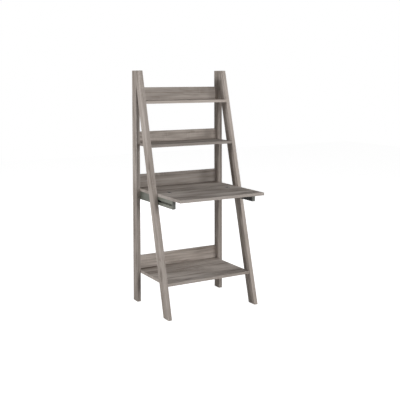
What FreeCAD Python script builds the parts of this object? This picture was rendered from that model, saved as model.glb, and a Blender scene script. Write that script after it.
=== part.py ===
# Ladder desk: two A-shaped side frames (a vertical rear post and a slanted front leg each) carry a
# top, a second, a desk and a bottom shelf, each with a low backboard. A leaf is hinged to the front
# of the desk shelf. Open, it lies level on two pull-out steel arms; closed, it swings up and leans
# on the second shelf's front edge.
#
# Millimetres. +Z is up, the front is -Y and left is -X. The origin lies on the floor, in the middle
# of the open desk's outline. "Depth" is counted forwards from the rear face of the posts, and
# "inset" is counted inwards from the inner face of a side frame.
import FreeCAD, Part
import os
import Sketcher

doc = FreeCAD.newDocument("LadderDesk")

# ---------------------------------------------------------------------------------------------
# Driving dimensions
# ---------------------------------------------------------------------------------------------

DRIVING_DIMENSIONS = [
    ("height", 1549),
    ("width", 660),
    ("rear_plane", 318),
    ("frame_thickness", 25),
    ("post_depth", 65),
    ("leg_width", 70),
    ("leg_foot_depth", 524),
    ("leg_top_depth", 112),
    ("glide_height", 2),
    ("glide_diameter", 20),
    ("edge_break", 0.8),
    ("shelf_thickness", 18),
    ("top_shelf_level", 1331),
    ("second_shelf_level", 1050),
    ("desk_shelf_level", 746),
    ("bottom_shelf_level", 195),
    ("top_shelf_depth", 165),
    ("second_shelf_depth", 239),
    ("desk_shelf_depth", 320),
    ("bottom_shelf_depth", 459),
    ("backboard_thickness", 16),
    ("tall_backboard_rise", 88),
    ("low_backboard_rise", 72),
    ("leaf_gap", 1),
    ("leaf_length", 315),
    ("leaf_side_gap", 2),
    ("slide_level", 719.2),
    ("slide_height", 53),
    ("plate_thickness", 2),
    ("plate_rear", 20),
    ("plate_front", 326),
    ("neck_height", 11.2),
    ("guide_outer_inset", 5.4),
    ("guide_inner_inset", 14.4),
    ("guide_height", 40.6),
    ("guide_sheet", 1.6),
    ("guide_rear", 36),
    ("guide_front", 322),
    ("plug_length", 6),
    ("arm_outer_inset", 2.6),
    ("arm_inner_inset", 24),
    ("arm_sheet", 1.8),
    ("arm_slot", 12.4),
    ("arm_rear", 224),
    ("arm_front", 527),
    ("arm_travel", 188),
    ("cap_plate", 5),
    ("cap_plug", 10.5),
    ("roller_diameter", 3.8),
    ("roller_length", 5.6),
    ("roller_inset", 7.7),
    ("track_offset", 22.5),
    ("cage_rear", 232),
    ("cage_length", 82),
    ("cage_sheet", 1.2),
    ("stud_diameter", 6),
    ("stud_depth", 236),
    ("hinge_spacing", 436),
    ("hinge_cup_diameter", 24),
    ("hinge_cup_depth", 10),
    ("hinge_cup_offset", 15),
    ("knuckle_radius", 2.4),
    ("knuckle_width", 18),
    ("pin_radius", 1.2),
    ("cam_diameter", 15),
    ("cam_depth", 13.5),
    ("cam_inset", 30),
]

dims = doc.addObject("Spreadsheet::Sheet", "Dims")
for row, (alias, size) in enumerate(DRIVING_DIMENSIONS, start=1):
    dims.set(f"A{row}", alias.replace("_", " "))
    dims.set(f"B{row}", str(size))
    dims.setAlias(f"B{row}", alias)
doc.recompute()

# Lengths that follow from the driving ones, written as sheet formulas.
INNER_HALF = "(Dims.width / 2 - Dims.frame_thickness)"
LEG_SLOPE = "((Dims.leg_foot_depth - Dims.leg_top_depth) / Dims.height)"
LEG_RUN = f"(Dims.leg_width * sqrt(1 + {LEG_SLOPE}^2))"
LEG_REAR_FOOT = f"(Dims.leg_foot_depth - {LEG_RUN})"
LEAF_REAR = "(Dims.desk_shelf_depth + Dims.leaf_gap)"
HINGE_DEPTH = "(Dims.desk_shelf_depth + Dims.leaf_gap / 2)"
DESK_TOP = "(Dims.desk_shelf_level + Dims.shelf_thickness)"


def value(formula):
    """The number that a sheet formula gives."""
    return float(dims.evalExpression(str(formula)))


def at_depth(formula):
    """The Y of a depth that is counted forwards from the rear plane."""
    return f"(Dims.rear_plane - {formula})"


# ---------------------------------------------------------------------------------------------
# Modelling helpers
# ---------------------------------------------------------------------------------------------


def new_body(label):
    """A body for one sub-part, with its origin in the rear plane on the floor."""
    body = doc.addObject("PartDesign::Body", label)
    body.Label = label
    body.AllowCompound = True
    body.setExpression("Placement.Base.y", "Dims.rear_plane")
    return body


def new_sketch(body, name, plane, offset="0"):
    """A sketch on one of the body's origin planes, moved along the plane's normal."""
    sketch = body.newObject("Sketcher::SketchObject", name)
    support = next(item for item in body.Origin.OriginFeatures if item.Role == plane)
    sketch.AttachmentSupport = [(support, "")]
    sketch.MapMode = "FlatFace"
    sketch.setExpression("AttachmentOffset.Base.z", str(offset))
    return sketch


def pin_point(sketch, geometry, end, across, up):
    """Hold a sketch point at two sheet formulas, measured from the sketch's origin."""
    for kind, formula in (("DistanceX", across), ("DistanceY", up)):
        index = sketch.addConstraint(
            Sketcher.Constraint(kind, -1, 1, geometry, end, value(formula))
        )
        sketch.setExpression(f"Constraints[{index}]", str(formula))


def draw_outline(sketch, corners):
    """A closed outline with straight sides through the corners, each a pair of sheet formulas."""
    points = [FreeCAD.Vector(value(across), value(up), 0) for across, up in corners]
    first = sketch.GeometryCount
    count = len(points)
    for i in range(count):
        sketch.addGeometry(Part.LineSegment(points[i], points[(i + 1) % count]), False)
    for i in range(count):
        following = first + (i + 1) % count
        sketch.addConstraint(Sketcher.Constraint("Coincident", first + i, 2, following, 1))
        pin_point(sketch, first + i, 1, *corners[i])


def draw_rectangle(sketch, left, low, right, high):
    """A rectangle between two opposite corners."""
    draw_outline(sketch, [(left, low), (right, low), (right, high), (left, high)])


def draw_circle(sketch, across, up, diameter):
    """A circle with its centre and diameter held by sheet formulas."""
    centre = FreeCAD.Vector(value(across), value(up), 0)
    upright = FreeCAD.Vector(0, 0, 1)
    geometry = sketch.addGeometry(Part.Circle(centre, upright, value(diameter) / 2), False)
    pin_point(sketch, geometry, 3, across, up)
    index = sketch.addConstraint(
        Sketcher.Constraint("Diameter", geometry, value(diameter))
    )
    sketch.setExpression(f"Constraints[{index}]", str(diameter))


def pad(body, sketch, length, backwards=False):
    """Raise a sketch into a solid."""
    feature = body.newObject("PartDesign::Pad", "Pad")
    feature.Profile = sketch
    feature.Reversed = backwards
    feature.setExpression("Length", str(length))
    sketch.Visibility = False
    doc.recompute()
    return feature


def pocket(body, sketch, length, backwards=False):
    """Cut a sketch into the body, and make sure that it took material away."""
    before = body.Shape.Volume
    feature = body.newObject("PartDesign::Pocket", "Pocket")
    feature.Profile = sketch
    feature.Reversed = backwards
    feature.setExpression("Length", str(length))
    sketch.Visibility = False
    doc.recompute()
    if body.Shape.Volume > before - 1e-3:
        raise RuntimeError(f"{body.Label}: {sketch.Name} cuts nothing")
    return feature


def mirror_sides(body, features):
    """Repeat features on the other side of the body's middle plane."""
    mirrored = body.newObject("PartDesign::Mirrored", "Mirrored")
    mirrored.Originals = features
    side_plane = next(item for item in body.Origin.OriginFeatures if item.Role == "YZ_Plane")
    mirrored.MirrorPlane = (side_plane, [""])
    body.Tip = mirrored
    doc.recompute()
    return mirrored


def break_edges(body, feature, size, wanted):
    """Chamfer the edges of the last feature for which wanted(edge) holds."""
    names = [
        f"Edge{i}"
        for i, edge in enumerate(feature.Shape.Edges, start=1)
        if wanted(edge)
    ]
    chamfer = body.newObject("PartDesign::Chamfer", "Chamfer")
    chamfer.Base = (feature, names)
    chamfer.setExpression("Size", str(size))
    doc.recompute()
    return chamfer


def round_edges(body, feature, radius, wanted):
    """Fillet the edges of the last feature for which wanted(edge) holds."""
    names = [
        f"Edge{i}"
        for i, edge in enumerate(feature.Shape.Edges, start=1)
        if wanted(edge)
    ]
    fillet = body.newObject("PartDesign::Fillet", "Fillet")
    fillet.Base = (feature, names)
    fillet.setExpression("Radius", str(radius))
    doc.recompute()
    return fillet


def runs_along(edge, axis, least=100):
    """Whether a long edge runs mainly along one axis, 0 for X, 1 for Y and 2 for Z."""
    if len(edge.Vertexes) < 2 or edge.Length < least:
        return False
    step = edge.Vertexes[1].Point - edge.Vertexes[0].Point
    return abs(step[axis]) > 0.9 * edge.Length


AXES = {
    "+X": FreeCAD.Vector(1, 0, 0),
    "-X": FreeCAD.Vector(-1, 0, 0),
    "+Y": FreeCAD.Vector(0, 1, 0),
    "-Y": FreeCAD.Vector(0, -1, 0),
    "+Z": FreeCAD.Vector(0, 0, 1),
    "-Z": FreeCAD.Vector(0, 0, -1),
}


def place(item, direction, x, y, z):
    """Stand an item that was made along +Z at a point, turned to a direction."""
    turn = FreeCAD.Rotation(FreeCAD.Vector(0, 0, 1), AXES[direction])
    item.Placement = FreeCAD.Placement(FreeCAD.Vector(0, 0, 0), turn)
    for name, formula in (("x", x), ("y", y), ("z", z)):
        item.setExpression(f"Placement.Base.{name}", str(formula))


def cylinder(name, diameter, length, direction, x, y, z):
    """A round bar that starts at a point and runs in a direction."""
    bar = doc.addObject("Part::Cylinder", name)
    bar.setExpression("Radius", f"({diameter}) / 2")
    bar.setExpression("Height", str(length))
    place(bar, direction, x, y, z)
    return bar


def cone(name, wide, narrow, length, direction, x, y, z):
    """A tapered round that starts at its wide end and runs in a direction."""
    taper = doc.addObject("Part::Cone", name)
    taper.setExpression("Radius1", f"({wide}) / 2")
    taper.setExpression("Radius2", f"({narrow}) / 2")
    taper.setExpression("Height", str(length))
    place(taper, direction, x, y, z)
    return taper


def fuse(name, base, tool):
    """Two solids joined into one."""
    joined = doc.addObject("Part::Fuse", name)
    joined.Base = base
    joined.Tool = tool
    return joined


def group(label, members):
    """One sub-part made of identical separate pieces."""
    compound = doc.addObject("Part::Compound", label)
    compound.Label = label
    compound.Links = members
    return compound


sub_parts = []


def keep(item):
    """List a finished sub-part for writing."""
    sub_parts.append(item)
    return item


# ---------------------------------------------------------------------------------------------
# Side frames
# ---------------------------------------------------------------------------------------------

SIDES = {"left": -1, "right": 1}
SHELF_LEVELS = {
    "top": "Dims.top_shelf_level",
    "second": "Dims.second_shelf_level",
    "desk": "Dims.desk_shelf_level",
    "bottom": "Dims.bottom_shelf_level",
}
JOINT_SCREW_LEVELS = [1478, 1522]
JOINT_SCREW_HEAD = 10
JOINT_SCREW_RECESS = 10
JOINT_SCREW_SHANK = 5
JOINT_SCREW_REACH = 92
POST_CAM_DEPTH = "(Dims.post_depth / 2)"
CAM_BOLT_BITE = 12
CAM_BOLT_THREAD = 6
BACKBOARD_RISES = {
    "top": "Dims.tall_backboard_rise",
    "second": "Dims.low_backboard_rise",
    "desk": "Dims.tall_backboard_rise",
    "bottom": "Dims.tall_backboard_rise",
}
PLATE_SCREW_POST_DEPTH = 45
PLATE_SCREW_LEG_DEPTH = 297
PLATE_SCREW_SPREAD = 15
PLATE_SCREW_BORE = 4.2
PLATE_SCREW_BITE = 17


def shelf_middle(level):
    """The mid-height of a shelf."""
    return f"({level} + Dims.shelf_thickness / 2)"


def leg_middle(level):
    """The depth of the leg's middle at the mid-height of a shelf."""
    return f"(Dims.leg_foot_depth - {LEG_RUN} / 2 - {LEG_SLOPE} * {shelf_middle(level)})"


def bore_inner_face(body, side, name, depth, centres, diameter):
    """Bore a frame board from its inner face; a centre is a depth from the rear and a height."""
    inner, _ = frame_span(side)
    sketch = new_sketch(body, name, "YZ_Plane", inner)
    for centre_depth, height in centres:
        draw_circle(sketch, f"-{centre_depth}", height, diameter)
    pocket(body, sketch, depth, backwards=SIDES[side] > 0)


def plate_screw_centres(depth):
    """The upper and the lower screw of a slide's mounting plate, at one depth."""
    return [
        (depth, f"(Dims.slide_level + {offset})")
        for offset in (PLATE_SCREW_SPREAD, -PLATE_SCREW_SPREAD)
    ]


def frame_span(side):
    """The inner and the outer X of a side frame."""
    sign = SIDES[side]
    inner = f"({sign} * {INNER_HALF})"
    outer = f"({sign} * Dims.width / 2)"
    return inner, outer


def make_post(side):
    """The vertical rear post, bored for the shelves, the slide and the leg."""
    inner, outer = frame_span(side)
    body = new_body(f"{side}_rear_post")
    plan = new_sketch(body, "PostPlan", "XY_Plane", "Dims.glide_height")
    draw_rectangle(plan, inner, "-Dims.post_depth", outer, "0")
    bar = pad(body, plan, "Dims.height - Dims.glide_height")
    break_edges(body, bar, "Dims.edge_break", lambda edge: runs_along(edge, 2))

    bolts = [(POST_CAM_DEPTH, shelf_middle(level)) for level in SHELF_LEVELS.values()]
    screws = plate_screw_centres(PLATE_SCREW_POST_DEPTH)
    bore_inner_face(body, side, "BoltHoles", CAM_BOLT_BITE, bolts, CAM_BOLT_THREAD)
    bore_inner_face(body, side, "PlateScrewHoles", PLATE_SCREW_BITE, screws, PLATE_SCREW_BORE)

    centre = f"({SIDES[side]} * (Dims.width - Dims.frame_thickness) / 2)"
    recess = new_sketch(body, "ScrewRecess", "XZ_Plane")
    shank = new_sketch(body, "ScrewShank", "XZ_Plane")
    for level in JOINT_SCREW_LEVELS:
        draw_circle(recess, centre, level, JOINT_SCREW_HEAD)
        draw_circle(shank, centre, level, JOINT_SCREW_SHANK)
    pocket(body, recess, JOINT_SCREW_RECESS, backwards=True)
    pocket(body, shank, "Dims.post_depth", backwards=True)
    return keep(body)


def make_leg(side):
    """The slanted front leg, cut level at the foot and top and mitred upright against the post."""
    inner, _ = frame_span(side)
    body = new_body(f"{side}_front_leg")
    mitre_end = f"(({LEG_REAR_FOOT} - Dims.post_depth) / {LEG_SLOPE})"
    foot_shift = f"({LEG_SLOPE} * Dims.glide_height)"
    profile = new_sketch(body, "LegProfile", "YZ_Plane", inner)
    draw_outline(
        profile,
        [
            (f"-(Dims.leg_foot_depth - {foot_shift})", "Dims.glide_height"),
            (f"-({LEG_REAR_FOOT} - {foot_shift})", "Dims.glide_height"),
            ("-Dims.post_depth", mitre_end),
            ("-Dims.post_depth", "Dims.height"),
            ("-Dims.leg_top_depth", "Dims.height"),
        ],
    )
    board = pad(body, profile, "Dims.frame_thickness", backwards=SIDES[side] < 0)
    break_edges(
        body, board, "Dims.edge_break", lambda edge: runs_along(edge, 2, least=1000)
    )

    bolts = [(leg_middle(level), shelf_middle(level)) for level in SHELF_LEVELS.values()]
    screws = plate_screw_centres(PLATE_SCREW_LEG_DEPTH)
    bore_inner_face(body, side, "BoltHoles", CAM_BOLT_BITE, bolts, CAM_BOLT_THREAD)
    bore_inner_face(body, side, "PlateScrewHoles", PLATE_SCREW_BITE, screws, PLATE_SCREW_BORE)

    centre = f"({SIDES[side]} * (Dims.width - Dims.frame_thickness) / 2)"
    bores = new_sketch(body, "JointScrewBores", "XZ_Plane", "Dims.post_depth")
    for level in JOINT_SCREW_LEVELS:
        draw_circle(bores, centre, level, JOINT_SCREW_SHANK)
    pocket(body, bores, f"{JOINT_SCREW_REACH + 2} - Dims.post_depth", backwards=True)
    return keep(body)


def make_glides():
    """A round plastic glide under the foot of each post and leg."""
    glides = []
    foot_middle = f"(Dims.leg_foot_depth - {LEG_RUN} / 2)"
    for side, sign in SIDES.items():
        x = f"{sign} * (Dims.width - Dims.frame_thickness) / 2"
        for end, depth in (("Rear", "Dims.post_depth / 2"), ("Front", foot_middle)):
            glides.append(
                cylinder(
                    f"Glide{end}{side.title()}",
                    "Dims.glide_diameter",
                    "Dims.glide_height",
                    "+Z",
                    x,
                    at_depth(depth),
                    0,
                )
            )
    return keep(group("foot_glides", glides))


def make_joint_screws():
    """Screws from the rear of each post into the top of its leg."""
    screws = []
    for side, sign in SIDES.items():
        x = f"{sign} * (Dims.width - Dims.frame_thickness) / 2"
        for level in JOINT_SCREW_LEVELS:
            name = f"{side.title()}{level}"
            head_depth = JOINT_SCREW_RECESS - 4
            head = cylinder(
                f"JointHead{name}",
                JOINT_SCREW_HEAD - 1,
                4,
                "-Y",
                x,
                at_depth(head_depth),
                level,
            )
            shank = cylinder(
                f"JointShank{name}",
                JOINT_SCREW_SHANK - 0.2,
                JOINT_SCREW_REACH - JOINT_SCREW_RECESS,
                "-Y",
                x,
                at_depth(JOINT_SCREW_RECESS),
                level,
            )
            screws.append(fuse(f"JointScrew{name}", head, shank))
    return keep(group("leg_joint_screws", screws))


# ---------------------------------------------------------------------------------------------
# Shelves, backboards and the fittings that hold them
# ---------------------------------------------------------------------------------------------

CAM_BOLT_BORE = 7
BACKBOARD_SCREW_OFFSET = 150
BACKBOARD_SCREW_DEPTH = "(Dims.backboard_thickness / 2)"
BACKBOARD_SCREW_HEAD = 8
BACKBOARD_SCREW_HEAD_THICKNESS = 2.2
BACKBOARD_SCREW_SHANK = 4
BACKBOARD_SCREW_BITE = 24
FIT_GAP = 0.1


def make_board(label, low, rise, half_width, rear, front):
    """A level board with its long edges broken; returns its body."""
    body = new_body(label)
    plan = new_sketch(body, "Plan", "XY_Plane", low)
    draw_rectangle(plan, f"-{half_width}", f"-{front}", half_width, f"-{rear}")
    board = pad(body, plan, rise)
    break_edges(body, board, "Dims.edge_break", lambda edge: runs_along(edge, 0))
    return body


def cam_depths(name):
    """The depths at which a shelf is drawn against the post and against the leg."""
    return [POST_CAM_DEPTH, leg_middle(SHELF_LEVELS[name])]


def make_shelf(name):
    """A shelf between the frames, bored for its cams, its cam bolts and its backboard's screws."""
    level = SHELF_LEVELS[name]
    body = make_board(
        f"{name}_shelf",
        level,
        "Dims.shelf_thickness",
        INNER_HALF,
        "0",
        f"Dims.{name}_shelf_depth",
    )
    cams = new_sketch(body, "CamPockets", "XY_Plane", level)
    bolts = new_sketch(body, "BoltBores", "YZ_Plane", INNER_HALF)
    for depth in cam_depths(name):
        draw_circle(cams, f"({INNER_HALF} - Dims.cam_inset)", f"-{depth}", "Dims.cam_diameter")
        draw_circle(bolts, f"-{depth}", shelf_middle(level), CAM_BOLT_BORE)
    screws = new_sketch(body, "ScrewBores", "XY_Plane", level)
    draw_circle(
        screws, BACKBOARD_SCREW_OFFSET, f"-{BACKBOARD_SCREW_DEPTH}", BACKBOARD_SCREW_SHANK + 0.2
    )
    bored = [
        pocket(body, cams, "Dims.cam_depth", backwards=True),
        pocket(body, bolts, "Dims.cam_inset"),
        pocket(body, screws, "Dims.shelf_thickness", backwards=True),
    ]
    if name == "desk":
        bored += recess_hinges(body, -1)
    mirror_sides(body, bored)
    return keep(body)


def make_backboard(name):
    """The low board that stands along the rear of a shelf."""
    foot = f"({SHELF_LEVELS[name]} + Dims.shelf_thickness)"
    body = make_board(
        f"{name}_backboard",
        foot,
        BACKBOARD_RISES[name],
        INNER_HALF,
        "0",
        "Dims.backboard_thickness",
    )
    pilot = new_sketch(body, "ScrewPilot", "XY_Plane", foot)
    draw_circle(
        pilot, BACKBOARD_SCREW_OFFSET, f"-{BACKBOARD_SCREW_DEPTH}", BACKBOARD_SCREW_SHANK + 0.2
    )
    mirror_sides(body, [pocket(body, pilot, BACKBOARD_SCREW_BITE, backwards=True)])
    return keep(body)


def make_cam(name, side, number, depth):
    """A cam disc in the shelf's underside, slotted towards the frame for the bolt's head."""
    sign = SIDES[side]
    level = SHELF_LEVELS[name]
    title = f"{name.title()}{side.title()}{number}"
    x = f"{sign} * ({INNER_HALF} - Dims.cam_inset)"
    disc = cylinder(
        f"CamDisc{title}",
        f"Dims.cam_diameter - {2 * FIT_GAP}",
        f"Dims.cam_depth - {FIT_GAP}",
        "+Z",
        x,
        at_depth(depth),
        level,
    )
    slot = doc.addObject("Part::Box", f"CamSlot{title}")
    slot.setExpression("Length", "Dims.cam_diameter")
    slot.setExpression("Width", str(CAM_BOLT_BORE))
    slot.setExpression("Height", "Dims.cam_depth")
    outer_shift = 0 if sign > 0 else 1
    slot.setExpression("Placement.Base.x", f"{x} - {outer_shift} * Dims.cam_diameter")
    slot.setExpression("Placement.Base.y", f"{at_depth(depth)} - {CAM_BOLT_BORE / 2}")
    slot.setExpression("Placement.Base.z", f"{shelf_middle(level)} - {CAM_BOLT_BORE / 2}")
    cam = doc.addObject("Part::Cut", f"Cam{title}")
    cam.Base = disc
    cam.Tool = slot
    return cam


def make_cam_bolt(name, side, number, depth):
    """A bolt screwed into the frame, whose end reaches into the cam."""
    sign = SIDES[side]
    return cylinder(
        f"CamBolt{name.title()}{side.title()}{number}",
        CAM_BOLT_THREAD - 2 * FIT_GAP,
        f"(Dims.cam_inset - 2) + {CAM_BOLT_BITE - FIT_GAP}",
        "+X" if sign > 0 else "-X",
        f"{sign} * ({INNER_HALF} - (Dims.cam_inset - 2))",
        at_depth(depth),
        shelf_middle(SHELF_LEVELS[name]),
    )


def make_shelf_fittings():
    """The cams and bolts of every shelf end."""
    cams = []
    bolts = []
    for name in SHELF_LEVELS:
        for side in SIDES:
            for number, depth in enumerate(cam_depths(name)):
                cams.append(make_cam(name, side, number, depth))
                bolts.append(make_cam_bolt(name, side, number, depth))
    keep(group("cam_discs", cams))
    keep(group("cam_bolts", bolts))


def make_backboard_screws():
    """The screws that come up through each shelf into its backboard."""
    screws = []
    for name, level in SHELF_LEVELS.items():
        for side, sign in SIDES.items():
            title = f"{name.title()}{side.title()}"
            x = sign * BACKBOARD_SCREW_OFFSET
            y = at_depth(BACKBOARD_SCREW_DEPTH)
            head = cylinder(
                f"ScrewHead{title}",
                BACKBOARD_SCREW_HEAD,
                BACKBOARD_SCREW_HEAD_THICKNESS,
                "-Z",
                x,
                y,
                level,
            )
            shank = cylinder(
                f"ScrewShank{title}",
                BACKBOARD_SCREW_SHANK,
                f"Dims.shelf_thickness + {BACKBOARD_SCREW_BITE - 2}",
                "+Z",
                x,
                y,
                level,
            )
            screws.append(fuse(f"BackboardScrew{title}", head, shank))
    return keep(group("backboard_screws", screws))


# ---------------------------------------------------------------------------------------------
# Leaf and its flap hinges
# ---------------------------------------------------------------------------------------------

HINGE_X = "(Dims.hinge_spacing / 2)"
LINK_THICKNESS = 2
LINK_CLEARANCE = 0.3
KNUCKLE_CLEARANCE = 0.5
TONGUE_REACH = 3


def cup_depth(toward_front):
    """The depth of a hinge cup, in front of the axis in the leaf or behind it in the shelf."""
    return f"({HINGE_DEPTH} + {toward_front} * Dims.hinge_cup_offset)"


def recess_hinges(body, toward_front):
    """Sink the cups, the link plates and the knuckles into a board's top."""
    cup = new_sketch(body, "CupRecess", "XY_Plane", DESK_TOP)
    draw_circle(cup, HINGE_X, f"-{cup_depth(toward_front)}", "Dims.hinge_cup_diameter")
    half_link = f"(Dims.knuckle_width / 2 + {LINK_CLEARANCE})"
    link = new_sketch(body, "LinkRecess", "XY_Plane", DESK_TOP)
    draw_rectangle(
        link,
        f"({HINGE_X} - {half_link})",
        f"-({HINGE_DEPTH} + {max(toward_front, 0)} * Dims.hinge_cup_offset)",
        f"({HINGE_X} + {half_link})",
        f"-({HINGE_DEPTH} + {min(toward_front, 0)} * Dims.hinge_cup_offset)",
    )
    notch_reach = f"(Dims.knuckle_radius + {KNUCKLE_CLEARANCE})"
    notch = new_sketch(body, "KnuckleNotch", "XY_Plane", DESK_TOP)
    draw_rectangle(
        notch,
        f"({HINGE_X} - {half_link})",
        f"-({HINGE_DEPTH} + {notch_reach})",
        f"({HINGE_X} + {half_link})",
        f"-({HINGE_DEPTH} - {notch_reach})",
    )
    return [
        pocket(body, cup, "Dims.hinge_cup_depth"),
        pocket(body, link, LINK_THICKNESS),
        pocket(body, notch, notch_reach),
    ]


def make_leaf():
    """The leaf that closes upwards against the second shelf."""
    body = make_board(
        "desk_leaf",
        "Dims.desk_shelf_level",
        "Dims.shelf_thickness",
        f"({INNER_HALF} - Dims.leaf_side_gap)",
        LEAF_REAR,
        f"({LEAF_REAR} + Dims.leaf_length)",
    )
    mirror_sides(body, recess_hinges(body, 1))
    return keep(body)


def knuckle_ranges(toward_front):
    """The stretches of the knuckle, along X from the hinge's middle, that one half carries."""
    third = "Dims.knuckle_width / 6"
    gap = 0.15
    if toward_front < 0:
        return [(f"(-{third} + {gap})", f"({third} - {gap})")]
    return [
        ("(-Dims.knuckle_width / 2)", f"(-{third} - {gap})"),
        (f"({third} + {gap})", "(Dims.knuckle_width / 2)"),
    ]


def make_hinge_halves(label, toward_front):
    """The cups of one board: a round cup, a link plate and its share of the knuckle."""
    body = new_body(label)
    cup = new_sketch(body, "Cup", "XY_Plane", DESK_TOP)
    draw_circle(
        cup, HINGE_X, f"-{cup_depth(toward_front)}", f"(Dims.hinge_cup_diameter - {FIT_GAP})"
    )
    features = [pad(body, cup, f"Dims.hinge_cup_depth - {FIT_GAP}", backwards=True)]

    near = f"{toward_front} * {TONGUE_REACH}"
    far = f"{toward_front} * Dims.hinge_cup_offset"
    link = new_sketch(body, "LinkPlate", "XY_Plane", DESK_TOP)
    draw_rectangle(
        link,
        f"({HINGE_X} - Dims.knuckle_width / 2)",
        f"-({HINGE_DEPTH} + {far})",
        f"({HINGE_X} + Dims.knuckle_width / 2)",
        f"-({HINGE_DEPTH} + {near})",
    )
    features.append(pad(body, link, LINK_THICKNESS, backwards=True))

    for number, (low, high) in enumerate(knuckle_ranges(toward_front)):
        tongue = new_sketch(body, f"Tongue{number}", "XY_Plane", DESK_TOP)
        draw_rectangle(
            tongue,
            f"({HINGE_X} + {low})",
            f"-({HINGE_DEPTH} + {near})",
            f"({HINGE_X} + {high})",
            f"-{HINGE_DEPTH}",
        )
        features.append(pad(body, tongue, LINK_THICKNESS, backwards=True))
        knuckle = new_sketch(body, f"Knuckle{number}", "YZ_Plane", f"{HINGE_X} + {low}")
        draw_circle(knuckle, f"-{HINGE_DEPTH}", DESK_TOP, "(2 * Dims.knuckle_radius)")
        features.append(pad(body, knuckle, f"{high} - {low}"))

    bore = new_sketch(body, "PinBore", "YZ_Plane", f"{HINGE_X} + Dims.knuckle_width")
    draw_circle(bore, f"-{HINGE_DEPTH}", DESK_TOP, f"(2 * Dims.pin_radius + {FIT_GAP})")
    features.append(pocket(body, bore, "2 * Dims.knuckle_width"))
    mirror_sides(body, features)
    return keep(body)


def make_hinge_pins():
    """The pin of each hinge."""
    pins = [
        cylinder(
            f"HingePin{side.title()}",
            "2 * Dims.pin_radius",
            "Dims.knuckle_width",
            "+X",
            f"{sign} * {HINGE_X} - Dims.knuckle_width / 2",
            at_depth(HINGE_DEPTH),
            DESK_TOP,
        )
        for side, sign in SIDES.items()
    ]
    return keep(group("hinge_pins", pins))


# ---------------------------------------------------------------------------------------------
# Support slides
# ---------------------------------------------------------------------------------------------

ROLLER_COUNT = 3
ROLLER_MARGIN = 10
CAGE_OUTER_INSET = 6.4
CAGE_INNER_INSET = 16.4
CAGE_SLOT_LENGTH = 20
CAGE_SLOT_HEIGHT = 16
WINDOW_GAP = 0.3
BUMPER_HEIGHT = 24
BUMPER_LENGTH = 12
STUD_TIP_INSET = 8.4
STUD_SHANK = 4
STUD_HEAD = 8
STUD_HEAD_THICKNESS = 0.8
RIVET_DEPTHS = [95, 160, 225]
RIVET_SHANK = 4
RIVET_HEAD = 8
RIVET_HEAD_THICKNESS = 0.8


def inset(side, amount):
    """The X that lies a given distance inwards from a frame's inner face."""
    return f"({SIDES[side]} * ({INNER_HALF} - ({amount})))"


def inwards(side):
    """The direction from a frame towards the middle of the desk."""
    return "-X" if SIDES[side] > 0 else "+X"


def draw_section(sketch, side, corners):
    """A slide's cross-section, with corners given as an inset and a height above its middle."""
    draw_outline(
        sketch,
        [(inset(side, amount), f"(Dims.slide_level + {rise})") for amount, rise in corners],
    )


def channel_corners(outer, inner, half_height, sheet):
    """The outline of a plain channel with its web at one inset and its flanges' ends at another."""
    step = f"({sheet} * ({inner} - {outer}) / abs({inner} - {outer}))"
    return [
        (inner, half_height),
        (outer, half_height),
        (outer, f"-{half_height}"),
        (inner, f"-{half_height}"),
        (inner, f"-({half_height} - {sheet})"),
        (f"({outer} + {step})", f"-({half_height} - {sheet})"),
        (f"({outer} + {step})", f"({half_height} - {sheet})"),
        (inner, f"({half_height} - {sheet})"),
    ]


def make_plate(side):
    """The mounting plate, screwed flat to the post and to the leg."""
    body = new_body(f"{side}_slide_plate")
    half = "(Dims.slide_height / 2)"
    section = new_sketch(body, "PlateSection", "XZ_Plane", "Dims.plate_rear")
    draw_section(
        section,
        side,
        [
            ("0", half),
            ("Dims.plate_thickness", half),
            ("Dims.plate_thickness", f"-{half}"),
            ("0", f"-{half}"),
        ],
    )
    pad(body, section, "Dims.plate_front - Dims.plate_rear")

    rivets = new_sketch(body, "RivetHoles", "YZ_Plane", inset(side, "0"))
    for depth in RIVET_DEPTHS:
        draw_circle(rivets, f"-{depth}", "Dims.slide_level", RIVET_SHANK + FIT_GAP)
    pocket(body, rivets, "Dims.plate_thickness", backwards=SIDES[side] < 0)

    screws = new_sketch(body, "ScrewHoles", "YZ_Plane", inset(side, "0"))
    for depth in (PLATE_SCREW_POST_DEPTH, PLATE_SCREW_LEG_DEPTH):
        for centre_depth, height in plate_screw_centres(depth):
            draw_circle(screws, f"-{centre_depth}", height, PLATE_SCREW_BORE)
    holes = pocket(body, screws, "Dims.plate_thickness", backwards=SIDES[side] < 0)
    face = value(inset(side, "Dims.plate_thickness"))

    def is_screw_rim(edge):
        if not isinstance(edge.Curve, Part.Circle):
            return False
        on_face = abs(edge.Curve.Center.x - face) < 0.01
        return on_face and abs(edge.Curve.Radius - PLATE_SCREW_BORE / 2) < 0.01

    break_edges(body, holes, "Dims.plate_thickness - 0.2", is_screw_rim)
    return keep(body)


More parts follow.
